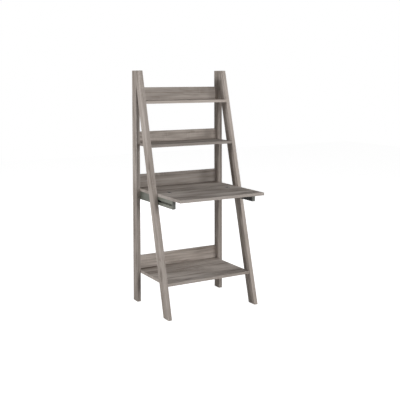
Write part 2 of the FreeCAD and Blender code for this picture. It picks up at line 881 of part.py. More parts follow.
def make_guide(side):
    """The fixed guide rail: a channel for the rollers on a neck that stands off the plate."""
    body = new_body(f"{side}_guide_rail")
    half = "(Dims.guide_height / 2)"
    neck = "(Dims.neck_height / 2)"
    channel = channel_corners(
        "Dims.guide_outer_inset", "Dims.guide_inner_inset", half, "Dims.guide_sheet"
    )
    neck_corners = [
        ("Dims.guide_outer_inset", neck),
        ("Dims.plate_thickness", neck),
        ("Dims.plate_thickness", f"-{neck}"),
        ("Dims.guide_outer_inset", f"-{neck}"),
    ]
    section = new_sketch(body, "GuideSection", "XZ_Plane", "Dims.guide_rear")
    draw_section(section, side, channel[:2] + neck_corners + channel[2:])
    pad(body, section, "Dims.guide_front - Dims.guide_rear")

    rivets = new_sketch(body, "RivetHoles", "YZ_Plane", inset(side, "Dims.plate_thickness"))
    for depth in RIVET_DEPTHS:
        draw_circle(rivets, f"-{depth}", "Dims.slide_level", RIVET_SHANK + FIT_GAP)
    pocket(body, rivets, 8, backwards=SIDES[side] < 0)
    return keep(body)


def make_guide_fillings(side):
    """The plug in the guide's front end, and the rubber blocks that stop the arm both ways."""
    plug = new_body(f"{side}_guide_end_plug")
    half = "(Dims.guide_height / 2)"
    section = new_sketch(plug, "PlugSection", "XZ_Plane", "Dims.guide_front")
    draw_section(
        section,
        side,
        [
            ("Dims.guide_outer_inset", half),
            ("Dims.guide_inner_inset", half),
            ("Dims.guide_inner_inset", f"-{half}"),
            ("Dims.guide_outer_inset", f"-{half}"),
        ],
    )
    block = pad(plug, section, "Dims.plug_length")
    front = value("-(Dims.guide_front + Dims.plug_length)")
    break_edges(plug, block, 1.5, lambda edge: abs(edge.CenterOfMass.y - front) < 0.01)
    keep(plug)

    bumpers = new_body(f"{side}_guide_bumpers")
    web = "(Dims.guide_outer_inset + Dims.guide_sheet)"
    tip = f"(Dims.guide_inner_inset - {FIT_GAP})"
    contact = f"(Dims.stud_diameter / 2 + {3 * FIT_GAP:.1f})"
    out_stop = f"(Dims.stud_depth + {contact})"
    in_stop = f"(Dims.stud_depth - Dims.arm_travel - {contact})"
    stretches = {
        "OutStop": (out_stop, f"({out_stop} + {BUMPER_LENGTH})"),
        "InStop": ("Dims.guide_rear", in_stop),
    }
    for name, (rear, front) in stretches.items():
        section = new_sketch(bumpers, name, "XZ_Plane", rear)
        draw_section(
            section,
            side,
            [
                (web, BUMPER_HEIGHT / 2),
                (tip, BUMPER_HEIGHT / 2),
                (tip, -BUMPER_HEIGHT / 2),
                (web, -BUMPER_HEIGHT / 2),
            ],
        )
        pad(bumpers, section, f"{front} - {rear}")
    keep(bumpers)


def make_cage(side):
    """The sheet cage that spaces the rollers, slotted at the rear for the arm's stop stud."""
    body = new_body(f"{side}_roller_cage")
    half = "(Dims.track_offset + Dims.cage_sheet / 2)"
    section = new_sketch(body, "CageSection", "XZ_Plane", "Dims.cage_rear")
    draw_section(
        section,
        side,
        channel_corners(CAGE_INNER_INSET, CAGE_OUTER_INSET, half, "Dims.cage_sheet"),
    )
    pad(body, section, "Dims.cage_length")

    slot = new_sketch(body, "StudSlot", "YZ_Plane", inset(side, CAGE_INNER_INSET))
    draw_rectangle(
        slot,
        f"-(Dims.cage_rear + {CAGE_SLOT_LENGTH})",
        f"(Dims.slide_level - {CAGE_SLOT_HEIGHT / 2})",
        "-Dims.cage_rear",
        f"(Dims.slide_level + {CAGE_SLOT_HEIGHT / 2})",
    )
    pocket(body, slot, "2 * Dims.cage_sheet", backwards=SIDES[side] > 0)

    windows = new_sketch(
        body, "RollerWindows", "XY_Plane", "Dims.slide_level + Dims.slide_height / 2"
    )
    half_window = f"(Dims.roller_diameter / 2 + {WINDOW_GAP})"
    for depth in roller_depths():
        draw_rectangle(
            windows,
            inset(side, f"Dims.roller_inset - {WINDOW_GAP}"),
            f"-({depth} + {half_window})",
            inset(side, f"Dims.roller_inset + Dims.roller_length + {WINDOW_GAP}"),
            f"-({depth} - {half_window})",
        )
    pocket(body, windows, "Dims.slide_height")
    return keep(body)


def roller_depths():
    """The depths of the rollers in a row, evenly spaced along the cage."""
    pitch = f"((Dims.cage_length - 2 * {ROLLER_MARGIN}) / {ROLLER_COUNT - 1})"
    return [
        f"(Dims.cage_rear + {ROLLER_MARGIN} + {i} * {pitch})" for i in range(ROLLER_COUNT)
    ]


def make_rollers(side):
    """The rollers between the guide's flanges and the arm's."""
    rollers = []
    for row, sign in (("Upper", 1), ("Lower", -1)):
        for number, depth in enumerate(roller_depths()):
            rollers.append(
                cylinder(
                    f"Roller{side.title()}{row}{number}",
                    "Dims.roller_diameter",
                    "Dims.roller_length",
                    inwards(side),
                    inset(side, "Dims.roller_inset"),
                    at_depth(depth),
                    f"Dims.slide_level + {sign} * Dims.track_offset",
                )
            )
    return keep(group(f"{side}_rollers", rollers))


def make_arm(side):
    """The pull-out arm: a lipped channel whose slot clears the guide's neck."""
    body = new_body(f"{side}_support_arm")
    half = "(Dims.slide_height / 2)"
    slot = "(Dims.arm_slot / 2)"
    lip = "(Dims.arm_outer_inset + Dims.arm_sheet)"
    channel = channel_corners(
        "Dims.arm_inner_inset", "Dims.arm_outer_inset", half, "Dims.arm_sheet"
    )
    upper_lip = [
        (lip, f"({half} - Dims.arm_sheet)"),
        (lip, slot),
        ("Dims.arm_outer_inset", slot),
    ]
    lower_lip = [
        ("Dims.arm_outer_inset", f"-{slot}"),
        (lip, f"-{slot}"),
        (lip, f"-({half} - Dims.arm_sheet)"),
    ]
    section = new_sketch(body, "ArmSection", "XZ_Plane", "Dims.arm_rear")
    draw_section(section, side, channel[:4] + lower_lip + channel[5:7] + upper_lip)
    rail = pad(body, section, "Dims.arm_front - Dims.arm_rear")
    top = value("Dims.slide_level + Dims.slide_height / 2")
    bottom = value("Dims.slide_level - Dims.slide_height / 2")

    def is_outer_corner(edge):
        height = edge.CenterOfMass.z
        return runs_along(edge, 1) and min(abs(height - top), abs(height - bottom)) < 0.01

    round_edges(body, rail, "Dims.arm_sheet - 0.3", is_outer_corner)

    stud = new_sketch(body, "StudHole", "YZ_Plane", inset(side, "Dims.arm_inner_inset"))
    draw_circle(stud, "-Dims.stud_depth", "Dims.slide_level", STUD_SHANK + FIT_GAP)
    pocket(body, stud, "2 * Dims.arm_sheet", backwards=SIDES[side] > 0)
    return keep(body)


def make_arm_cap(side):
    """The cap of an arm: a plate over its front end and a plug that fills the slot behind it."""
    body = new_body(f"{side}_arm_cap")
    half = "(Dims.slide_height / 2)"
    outer = "Dims.arm_outer_inset"
    inner = "Dims.arm_inner_inset"
    plate = new_sketch(body, "CapPlate", "XZ_Plane", "Dims.arm_front")
    draw_section(
        plate, side, [(outer, half), (inner, half), (inner, f"-{half}"), (outer, f"-{half}")]
    )
    cap = pad(body, plate, "Dims.cap_plate")
    rear = value("-Dims.arm_front")

    def is_outline(edge):
        return abs(edge.CenterOfMass.y - rear) > 0.01

    round_edges(body, cap, "Dims.arm_sheet - 0.3", is_outline)

    lip = f"(Dims.arm_outer_inset + Dims.arm_sheet + {FIT_GAP})"
    web = f"(Dims.arm_inner_inset - Dims.arm_sheet - {FIT_GAP})"
    core = f"({half} - Dims.arm_sheet - {FIT_GAP})"
    tongue = f"(Dims.arm_slot / 2 - {FIT_GAP})"
    plug = new_sketch(body, "CapPlug", "XZ_Plane", "Dims.arm_front - Dims.cap_plug")
    draw_section(
        plug,
        side,
        [
            (lip, core),
            (web, core),
            (web, f"-{core}"),
            (lip, f"-{core}"),
            (lip, f"-{tongue}"),
            (outer, f"-{tongue}"),
            (outer, tongue),
            (lip, tongue),
        ],
    )
    pad(body, plug, "Dims.cap_plug")
    return keep(body)


def make_stop_stud(side):
    """The stud riveted through the arm's web, which runs in the guide's channel."""
    stretches = [
        ("Stud", "Dims.stud_diameter", STUD_TIP_INSET, "Dims.arm_inner_inset - Dims.arm_sheet"),
        ("Shank", STUD_SHANK, "Dims.arm_inner_inset - Dims.arm_sheet", "Dims.arm_inner_inset"),
        (
            "Head",
            STUD_HEAD,
            "Dims.arm_inner_inset",
            f"Dims.arm_inner_inset + {STUD_HEAD_THICKNESS}",
        ),
    ]
    bars = [
        cylinder(
            f"Stop{name}{side.title()}",
            diameter,
            f"({far}) - ({near})",
            inwards(side),
            inset(side, near),
            at_depth("Dims.stud_depth"),
            "Dims.slide_level",
        )
        for name, diameter, near, far in stretches
    ]
    stud = doc.addObject("Part::MultiFuse", f"{side}_stop_stud")
    stud.Label = f"{side}_stop_stud"
    stud.Shapes = bars
    return keep(stud)


def make_plate_screws():
    """The countersunk screws of both mounting plates."""
    screws = []
    for side, sign in SIDES.items():
        outwards = "+X" if sign > 0 else "-X"
        for depth in (PLATE_SCREW_POST_DEPTH, PLATE_SCREW_LEG_DEPTH):
            for number, (centre_depth, height) in enumerate(plate_screw_centres(depth)):
                title = f"{side.title()}{depth}{number}"
                head = cone(
                    f"PlateScrewHead{title}",
                    f"({PLATE_SCREW_BORE} + 2 * Dims.plate_thickness - 0.8)",
                    PLATE_SCREW_BORE - 2 * FIT_GAP,
                    "Dims.plate_thickness - 0.3",
                    outwards,
                    inset(side, f"Dims.plate_thickness - {FIT_GAP}"),
                    at_depth(centre_depth),
                    height,
                )
                shank = cylinder(
                    f"PlateScrewShank{title}",
                    PLATE_SCREW_BORE - 2 * FIT_GAP,
                    PLATE_SCREW_BITE - 1,
                    outwards,
                    inset(side, "0.3"),
                    at_depth(centre_depth),
                    height,
                )
                screws.append(fuse(f"PlateScrew{title}", head, shank))
    return keep(group("slide_screws", screws))


def make_rivets():
    """The rivets that hold each guide rail to its plate."""
    rivets = []
    span = "Dims.guide_outer_inset + Dims.guide_sheet"
    for side in SIDES:
        for depth in RIVET_DEPTHS:
            title = f"{side.title()}{depth}"
            shank = cylinder(
                f"RivetShank{title}",
                RIVET_SHANK,
                span,
                inwards(side),
                inset(side, "0"),
                at_depth(depth),
                "Dims.slide_level",
            )
            head = cylinder(
                f"RivetHead{title}",
                RIVET_HEAD,
                RIVET_HEAD_THICKNESS,
                inwards(side),
                inset(side, -RIVET_HEAD_THICKNESS),
                at_depth(depth),
                "Dims.slide_level",
            )
            rivets.append(fuse(f"Rivet{title}", shank, head))
    return keep(group("slide_rivets", rivets))


# ---------------------------------------------------------------------------------------------
# The whole desk
# ---------------------------------------------------------------------------------------------

for side in SIDES:
    make_post(side)
    make_leg(side)
make_glides()
make_joint_screws()
for name in SHELF_LEVELS:
    make_shelf(name)
    make_backboard(name)
make_shelf_fittings()
make_backboard_screws()
make_leaf()
make_hinge_halves("leaf_hinge_cups", 1)
make_hinge_halves("shelf_hinge_cups", -1)
make_hinge_pins()
for side in SIDES:
    make_plate(side)
    make_guide(side)
    make_guide_fillings(side)
    make_cage(side)
    make_rollers(side)
    make_arm(side)
    make_arm_cap(side)
    make_stop_stud(side)
make_plate_screws()
make_rivets()
doc.recompute()

for item in doc.Objects:
    if "Invalid" in item.State or "Error" in item.State:
        raise RuntimeError(f"{item.Label} did not compute")
os.makedirs("parts", exist_ok=True)
for item in sub_parts:
    if item.Shape.isNull() or not item.Shape.isValid():
        raise RuntimeError(f"{item.Label} has no valid shape")
    item.Shape.exportStep(f"parts/{item.Label}.step")
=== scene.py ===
import math
import random

import bpy
from mathutils import Matrix, Vector


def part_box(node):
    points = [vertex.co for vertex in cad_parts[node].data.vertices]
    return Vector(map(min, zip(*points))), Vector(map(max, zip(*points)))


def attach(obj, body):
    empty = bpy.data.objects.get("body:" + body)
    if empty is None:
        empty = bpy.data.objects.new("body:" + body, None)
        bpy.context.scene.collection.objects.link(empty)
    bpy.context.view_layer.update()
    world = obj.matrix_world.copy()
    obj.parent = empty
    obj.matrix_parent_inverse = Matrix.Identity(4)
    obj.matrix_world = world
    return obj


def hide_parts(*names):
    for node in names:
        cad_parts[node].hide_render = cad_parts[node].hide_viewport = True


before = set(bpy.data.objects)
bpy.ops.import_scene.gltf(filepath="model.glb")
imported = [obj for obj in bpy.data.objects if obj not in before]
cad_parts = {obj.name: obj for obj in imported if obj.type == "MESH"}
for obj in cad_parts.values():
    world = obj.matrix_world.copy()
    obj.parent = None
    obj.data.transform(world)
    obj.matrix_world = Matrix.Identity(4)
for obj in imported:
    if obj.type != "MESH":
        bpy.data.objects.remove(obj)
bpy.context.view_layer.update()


# ---------------------------------------------------------------------------------------------
# Side frames. Two upright rear posts and two raked front legs, each a 25 mm particle board
# wrapped in matt foil printed as grey weathered oak, its grain along the board. Post and leg
# meet in an upright mitre at the top.
# ---------------------------------------------------------------------------------------------


class Port:
    """One output in a node tree. A sum on it adds Math nodes, and node() adds any other node."""

    def __init__(self, tree, socket=None):
        self.tree = tree
        self.socket = socket

    def node(self, kind, settings=None, sockets=None, output=0):
        """Adds a node: its settings first, then the value or the link of each socket.

        The setting called stops gives a ramp its places and colours.
        """
        added = self.tree.nodes.new(kind)
        for name, setting in (settings or {}).items():
            if name == "stops":
                stops = added.color_ramp.elements
                for number, (place, colour) in enumerate(setting):
                    stop = stops[number] if number < len(stops) else stops.new(place)
                    stop.position = place
                    stop.color = (*colour, 1)
            else:
                setattr(added, name, setting)
        for name, value in (sockets or {}).items():
            if isinstance(value, Port):
                self.tree.links.new(value.socket, added.inputs[name])
            else:
                added.inputs[name].default_value = value
        return Port(self.tree, added.outputs[output] if added.outputs else None)

    def math(self, operation, *values):
        """Adds a Math node on these values."""
        return self.node("ShaderNodeMath", {"operation": operation}, dict(enumerate(values)))

    def __add__(self, other):
        return self.math("ADD", self, other)

    def __radd__(self, other):
        return self.math("ADD", other, self)

    def __sub__(self, other):
        return self.math("SUBTRACT", self, other)

    def __rsub__(self, other):
        return self.math("SUBTRACT", other, self)

    def __mul__(self, other):
        return self.math("MULTIPLY", self, other)

    def __rmul__(self, other):
        return self.math("MULTIPLY", other, self)

    def __truediv__(self, other):
        return self.math("DIVIDE", self, other)

    def __abs__(self):
        return self.math("ABSOLUTE", self)

    def step(self, low, high):
        """Rises smoothly from 0 at low to 1 at high."""
        return self.node(
            "ShaderNodeMapRange",
            {"interpolation_type": "SMOOTHSTEP"},
            {"Value": self, "From Min": low, "From Max": high},
        )

    def stretched(self, scale, shift):
        """This place in metres, stretched each way and moved to another part of the pattern."""
        return self.node(
            "ShaderNodeVectorMath",
            {"operation": "MULTIPLY_ADD"},
            {0: self, 1: scale, 2: (shift, 1.7 * shift, 0.6 * shift)},
        )

    def noise(self, scale, shift, detail=2.0, roughness=0.5):
        """Noise from 0 to 1 at this place, with so many features in a metre each way."""
        return self.node(
            "ShaderNodeTexNoise",
            {},
            {
                "Vector": self.stretched(scale, shift),
                "Scale": 1.0,
                "Detail": detail,
                "Roughness": roughness,
            },
        )

    def blend(self, first, second):
        """Mixes two colours on the Mix node's colour sockets, this value being the second's share."""
        return self.node(
            "ShaderNodeMix", {"data_type": "RGBA"}, {0: self, 6: first, 7: second}, output=2
        )

    def ramp(self, stops):
        """The colour that this value has on a row of stops."""
        return self.node("ShaderNodeValToRGB", {"stops": stops}, {0: self})


def new_material(name):
    """An empty material, and a port to start its nodes from."""
    material = bpy.data.materials.new(name)
    material.use_nodes = True
    material.node_tree.nodes.clear()
    return material, Port(material.node_tree)


def place_on_object(port, centre=(0, 0, 0), turn=(0, 0, 0)):
    """The place on the object in metres, from a centre and in a turned frame."""
    coordinates = port.node("ShaderNodeTexCoord", {}, {}, output="Object")
    return port.node(
        "ShaderNodeMapping",
        {"vector_type": "TEXTURE"},
        {"Vector": coordinates, "Location": centre, "Rotation": turn},
    )


def close_material(port, sockets, height, depth):
    """Ends a material with one Principled shader, its height of 0 to 1 being depth in metres."""
    sockets["Normal"] = port.node(
        "ShaderNodeBump", {}, {"Height": height, "Distance": depth, "Strength": 0.6}
    )
    surface = port.node("ShaderNodeBsdfPrincipled", {}, sockets)
    port.node("ShaderNodeOutputMaterial", {}, {"Surface": surface})


def dress(node, material):
    """Gives a carried-over node its finish."""
    for material_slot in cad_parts[node].material_slots:
        material_slot.material = material


OAK_STOPS = [
    (0.14, (0.150, 0.124, 0.106)),
    (0.36, (0.262, 0.226, 0.199)),
    (0.55, (0.352, 0.309, 0.277)),
    (0.80, (0.478, 0.430, 0.392)),
]
OAK_RUBBED = (0.55, 0.50, 0.46, 1)
OAK_TONE = 0.57
RING_WIDTH = 0.017
FOIL_RELIEF = 0.00025


def log_rings(port, place, offsets, heart, seed):
    """The dark late wood of a log's rings, and the hearts of its knots, each from 0 to 1.

    The offsets run along the board, across it and through it. The heart gives how far the
    middle of the log lies across and below, and how much its line slopes.
    """
    along, across, deep = offsets
    heart_across, heart_deep, heart_slope = heart
    wander = place.noise((2.6, 9, 9), seed + 3.9) - 0.5
    ripple = place.noise((11, 40, 40), seed + 5.7) - 0.5
    knot = port.node(
        "ShaderNodeTexVoronoi",
        {},
        {"Vector": place.stretched((2.1, 7.5, 7.5), seed + 2.3), "Scale": 1.0},
    )
    swelling = 1 - knot.step(0.0, 0.34)
    aside = across + heart_across + 0.05 * wander
    below = deep + heart_deep + heart_slope * along
    radius = port.math("SQRT", aside * aside + below * below)
    growth = (radius + 0.016 * wander + 0.008 * ripple + 0.030 * swelling) / RING_WIDTH
    ring = port.math("FRACT", growth)
    unworn = place.noise((4.5, 15, 15), seed + 5.1, 1.0).step(0.38, 0.62)
    latewood = ring.step(0.35, 0.93) * (1 - ring.step(0.93, 1.0)) * unworn
    return latewood, 1 - knot.step(0.035, 0.11)


def board_edges(port, half_size, offsets):
    """1 on a board's narrow edges and ends, and how far a point lies from the nearest arris.

    On an arris two of the three gaps are nothing, so the middle one says how far it is.
    """
    gaps = [half - abs(offset) for half, offset in zip(half_size, offsets)]
    on_edge = 1 - port.math("MINIMUM", gaps[0], gaps[1]).step(0.0003, 0.0014)
    nearer = port.math("MINIMUM", gaps[1], gaps[2])
    farther = port.math("MAXIMUM", gaps[1], gaps[2])
    return on_edge, port.math("MAXIMUM", nearer, port.math("MINIMUM", farther, gaps[0]))


def print_oak(
    node, turn, half_size, heart, seed, tone_and_painted_light, figure=1.0, centre=None, edge_tone=0.0
):
    """Prints a board's foil: a plank sawn beside the heart of a log, weathered and greyed.

    The turn lays the pattern's own axes along the board, across it and through it. A larger
    figure gives bolder clouds and streaks, which the narrow edges show only faintly, and the
    edge tone makes the strip of foil on them paler. One factor scales all the colours of each
    board: partly its own tone, partly painted light that makes it lighter or darker by how light
    falls on it.
    """
    low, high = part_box(node)
    middle = tuple(centre or (low + high) / 2)
    material, port = new_material(node + "_oak")
    place = place_on_object(port, middle, tuple(turn.to_euler("XYZ")))
    offsets = [
        port.node("ShaderNodeSeparateXYZ", {}, {"Vector": place}, output=axis) for axis in range(3)
    ]
    latewood, knot_heart = log_rings(port, place, offsets, heart, seed)
    on_edge, from_arris = board_edges(port, half_size, offsets)

    cloud = place.noise((4.2, 30, 30), seed)
    broad = place.noise((2.4, 8, 8), seed + 3.1, 1.0)
    stripe = place.noise((3.2, 78, 78), seed + 8.3)
    streak = place.noise((2.0, 56, 56), seed + 7.1, 1.5).step(0.52, 0.68)
    fibre = place.noise((8, 240, 240), seed + 1.9, 3.0, 0.62)
    pore = place.noise((26, 950, 950), seed + 4.4, 1.0).step(0.60, 0.70)
    scuff = place.noise((170, 26, 26), seed + 6.2, 1.0).step(0.50, 0.72)
    patch = place.noise((5.0, 9, 9), seed + 9.9, 1.0).step(0.54, 0.66)

    figured = 0.55 * figure * (cloud - 0.5) + 0.75 * figure * (broad - 0.5)
    figured = figured + 0.65 * (stripe - 0.5) - 0.15 * figure * streak - 0.16 * latewood
    figured = figured - 0.30 * knot_heart
    tone = OAK_TONE + edge_tone * on_edge + (1 - 0.65 * on_edge) * figured
    tone = tone + 0.42 * (fibre - 0.5) - 0.08 * pore + 0.12 * (scuff - 0.4) * patch
    # Painted light: the factor lightens or darkens the whole board for how light falls on it, as well
    # as for its own tone.
    stops = [(at, tuple(tone_and_painted_light * part for part in colour)) for at, colour in OAK_STOPS]
    rubbed = (1 - from_arris.step(0.0004, 0.0022)) * place.noise((30, 90, 90), seed, 1.0)

    close_material(
        port,
        {
            "Base Color": (0.5 * rubbed).blend(tone.ramp(stops), OAK_RUBBED),
            "Roughness": 0.72 + 0.16 * (fibre - 0.5) + 0.10 * pore,
            "Specular IOR Level": 0.25,
        },
        0.5 + 0.3 * (fibre - 0.5) - 0.35 * pore - 0.15 * latewood,
        FOIL_RELIEF,
    )
    dress(node, material)


SIDES = {"left": -1, "right": 1}

# The middle of a side board's thickness, and how far a leg goes back for each metre up.
SIDE_X = 0.3175
LEG_SLOPE = 0.265978
LEG_MIDDLE = Vector((SIDE_X, 0.0363, 0.775))
GRAIN_UPRIGHT = Matrix.Rotation(math.radians(-90), 3, "Y")
GRAIN_RAKED = Matrix.Rotation(-math.atan(LEG_SLOPE), 3, "X") @ GRAIN_UPRIGHT

# Half the length, width and thickness. The leg's length runs past its level cuts, which then
# aren't printed as edges.
POST_HALF = (0.7735, 0.0325, 0.0125)
LEG_HALF = (0.85, 0.0350, 0.0125)

# The seed of each side's post and the factor of its colours, then the same for its leg. The
# factor is partly the board's own tone and partly painted light: the right side is lighter where
# more light falls on it.
SIDE_PRINTS = {"left": (7.0, 0.95, 7.5, 1.03), "right": (23.0, 1.11, 27.5, 1.17)}

for side, sign in SIDES.items():
    post_seed, post_tone_and_painted_light, leg_seed, leg_tone_and_painted_light = SIDE_PRINTS[side]
    print_oak(
        side + "_rear_post",
        GRAIN_UPRIGHT,
        POST_HALF,
        heart=(0.02 * sign, 0.055, 0.03),
        seed=post_seed,
        tone_and_painted_light=post_tone_and_painted_light,
    )
    print_oak(
        side + "_front_leg",
        GRAIN_RAKED,
        LEG_HALF,
        heart=(-0.015 * sign, 0.040, -0.04),
        seed=leg_seed,
        tone_and_painted_light=leg_tone_and_painted_light,
        centre=(sign * LEG_MIDDLE.x, LEG_MIDDLE.y, LEG_MIDDLE.z),
    )


# ---------------------------------------------------------------------------------------------
# Screws of the mitre. Two 86 mm chipboard screws on each side go in from the rear of the post,
# sunk 6 mm below its face, and draw the leg's top tight. Steel, bright zinc plated.
# ---------------------------------------------------------------------------------------------

FINE_MARKS = (500, 500, 500)
MARK_DEPTH = 0.00003


def plating(place, colour, roughness, grain):
    """The colour, the roughness and the fine marks of a plated or cast metal at a place."""
    drift = place.noise((40, 40, 40), 1.3)
    marks = place.noise(grain, 2.1, 3.0, 0.6)
    darker = tuple(0.76 * part for part in colour)
    lighter = tuple(1.18 * part for part in colour)
    tint = (0.5 * drift + 0.5 * marks).ramp([(0.34, darker), (0.66, lighter)])
    rough = roughness + 0.24 * (marks - 0.5) + 0.10 * (drift - 0.5)
    return tint, rough, marks


def plated_metal(name, colour, roughness, metallic, grain=FINE_MARKS, depth=MARK_DEPTH):
    """A metal all over, whose colour drifts a little and whose gloss follows fine marks."""
    material, port = new_material(name)
    tint, rough, marks = plating(place_on_object(port), colour, roughness, grain)
    close_material(
        port, {"Base Color": tint, "Metallic": metallic, "Roughness": rough}, marks, depth
    )
    return material


def turning_tree():
    """The tree that turns a piece from its axis, cuts it, and sets a copy at each place."""
    tree = bpy.data.node_groups.new("turned_pieces", "GeometryNodeTree")
    inputs = {
        "Places": "NodeSocketGeometry",
        "Axis": "NodeSocketObject",
        "Cutter": "NodeSocketObject",
        "Sides": "NodeSocketInt",
        "Finish": "NodeSocketMaterial",
    }
    for name, kind in inputs.items():
        tree.interface.new_socket(name, in_out="INPUT", socket_type=kind)
    tree.interface.new_socket("Pieces", in_out="OUTPUT", socket_type="NodeSocketGeometry")
    start = Port(tree)
    group_input = tree.nodes.new("NodeGroupInput")
    given = {name: Port(tree, group_input.outputs[name]) for name in inputs}
    axis = start.node("GeometryNodeObjectInfo", {}, {"Object": given["Axis"]}, "Geometry")
    cutter = start.node("GeometryNodeObjectInfo", {}, {"Object": given["Cutter"]}, "Geometry")
    ring = start.node(
        "GeometryNodeCurvePrimitiveCircle", {}, {"Resolution": given["Sides"], "Radius": 1.0}
    )
    radius = start.node("GeometryNodeInputRadius")
    turned = start.node(
        "GeometryNodeCurveToMesh",
        {},
        {"Curve": axis, "Profile Curve": ring, "Scale": radius, "Fill Caps": True},
    )
    # The boxes of a recess pass through each other, so the cut allows for self intersection.
    cut = start.node(
        "GeometryNodeMeshBoolean",
        {"operation": "DIFFERENCE", "solver": "EXACT"},
        {"Mesh 1": turned, "Mesh 2": cutter, "Self Intersection": True},
    )
    facing, toward = (
        start.node("GeometryNodeInputNamedAttribute", {"data_type": "FLOAT_VECTOR"}, {"Name": name})
        for name in ("facing", "toward")
    )
    upright = start.node("FunctionNodeAlignRotationToVector", {"axis": "Z"}, {"Vector": facing})
    aimed = start.node(
        "FunctionNodeAlignRotationToVector",
        {"axis": "X", "pivot_axis": "Z"},
        {"Rotation": upright, "Vector": toward},
    )
    copies = start.node(
        "GeometryNodeInstanceOnPoints",
        {},
        {"Points": given["Places"], "Instance": cut, "Rotation": aimed},
    )
    real = start.node("GeometryNodeRealizeInstances", {}, {"Geometry": copies})
    finished = start.node(
        "GeometryNodeSetMaterial", {}, {"Geometry": real, "Material": given["Finish"]}
    )
    start.node("NodeGroupOutput", {}, {"Pieces": finished})
    return tree


def add_object(name, data):
    """A new object of the scene, at the origin."""
    made = bpy.data.objects.new(name, data)
    bpy.context.scene.collection.objects.link(made)
    return made


def boxes(name, sizes):
    """A mesh of boxes, each given by its lowest and its highest corner."""
    corners = []
    faces = []
    quads = [(0, 2, 3, 1), (4, 5, 7, 6), (0, 1, 5, 4), (2, 6, 7, 3), (0, 4, 6, 2), (1, 3, 7, 5)]
    for low, high in sizes:
        first = len(corners)
        # Each bit of a corner's number says on which side of the box it is, along one axis.
        for number in range(8):
            pick = [high[axis] if number >> axis & 1 else low[axis] for axis in range(3)]
            corners.append(pick)
        faces += [[first + corner for corner in quad] for quad in quads]
    mesh = bpy.data.meshes.new(name)
    mesh.from_pydata(corners, [], faces)
    return mesh


def cross_recess(span, width, depth):
    """The two boxes of a cross recess in a face at height 0, which they rise above."""
    half = span / 2
    thin = width / 2
    above = 0.001
    return [
        ((-half, -thin, -depth), (half, thin, above)),
        ((-thin, -half, -depth), (thin, half, above)),
    ]


TURNING = turning_tree()
SHARP_ANGLE = math.radians(32)

# Points at one height would fall together on the axis, so each next one is set this much lower.
POINT_DROP = 5e-6


def turned_mesh(name, profile, places, material, cutter, sides):
    """The mesh that the tree makes of a profile, its cutting boxes and its places."""
    curve = bpy.data.curves.new(name + "_axis", "CURVE")
    curve.dimensions = "3D"
    line = curve.splines.new("POLY")
    line.points.add(len(profile) - 1)
    for number, (point, (height, radius)) in enumerate(zip(line.points, profile)):
        point.co = (0, 0, height - number * POINT_DROP, 1)
        point.radius = radius
    axis = add_object(name + "_axis", curve)
    tool = add_object(name + "_cutter", boxes(name + "_cutter", cutter))

    points = bpy.data.meshes.new(name + "_places")
    points.from_pydata([place[0] for place in places], [], [])
    for column, label in ((1, "facing"), (2, "toward")):
        attribute = points.attributes.new(label, "FLOAT_VECTOR", "POINT")
        for number, place in enumerate(places):
            attribute.data[number].vector = place[column]
    source = add_object(name + "_places", points)
    setter = source.modifiers.new("turn", "NODES")
    setter.node_group = TURNING
    values = {"Axis": axis, "Cutter": tool, "Sides": sides, "Finish": material}
    for socket in TURNING.interface.items_tree:
        if socket.name in values:
            setter[socket.identifier] = values[socket.name]

    seen = source.evaluated_get(bpy.context.evaluated_depsgraph_get())
    mesh = bpy.data.meshes.new_from_object(seen)
    for spare in (source, tool, axis):
        bpy.data.objects.remove(spare)
    return mesh


def turned_pieces(
    name, profile, places, material, body, replaced=None, cutter=(), sides=32
):
    """Turns a piece with the given heights and radii below its outer face, at every place.

    A place is a point on the outer face, the way that this face looks, and the way that the
    piece's own X axis is turned. The cutter is a list of boxes that are taken out of the piece,
    and replaced names the plain node of the frame that it stands for, where there is one.
    """
    piece = add_object(name, turned_mesh(name, profile, places, material, cutter, sides))
    piece.data.materials.clear()
    piece.data.materials.append(material)
    piece.data.shade_smooth()
    piece.data.set_sharp_from_angle(angle=SHARP_ANGLE)
    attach(piece, body)
    if replaced:
        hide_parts(replaced)


def threaded(start, end, core, crest, pitch):
    """The heights and radii of a thread between two heights, the higher one first."""
    tip = end + 0.002
    points = []
    for number in range(int((start - tip) / pitch)):
        top = start - number * pitch
        points += [(top, core), (top - 0.5 * pitch, crest)]
    return points + [(tip, core), (end, 0.0003)]


spin = random.Random(5)


def any_turn(facing):
    """A random direction square to the way that a piece faces."""
    angle = spin.uniform(0, math.pi)
    way = Vector(facing)
    return way.orthogonal().normalized() @ Matrix.Rotation(angle, 3, way)


bright_zinc = plated_metal("bright_zinc", (0.60, 0.60, 0.58), roughness=0.30, metallic=1.0)
MITRE_SCREW = [(0, 0.0026), (-0.0005, 0.0038), (-0.0012, 0.0044), (-0.0020, 0.0045)]
MITRE_SCREW += [(-0.0040, 0.0045), (-0.0040, 0.0022), (-0.0350, 0.0022)]
MITRE_SCREW += threaded(-0.0355, -0.0860, core=0.0016, crest=0.0024, pitch=0.0028)
MITRE_SCREW_SINK = 0.006
MITRE_SCREW_LEVELS = (1.478, 1.522)
REAR = 0.318

mitre_screw_places = [
    ((sign * SIDE_X, REAR - MITRE_SCREW_SINK, level), (0, 1, 0), any_turn((0, 1, 0)))
    for sign in SIDES.values()
    for level in MITRE_SCREW_LEVELS
]
turned_pieces(
    "mitre_screws",
    MITRE_SCREW,
    mitre_screw_places,
    bright_zinc,
    body="frame",
    replaced="leg_joint_screws",
    cutter=cross_recess(span=0.0052, width=0.0011, depth=0.0024),
)


# ---------------------------------------------------------------------------------------------
# Foot glides. Round black plastic pads of 2 mm, moulded with a rounded rim, under the middle
# of the four feet.
# ---------------------------------------------------------------------------------------------


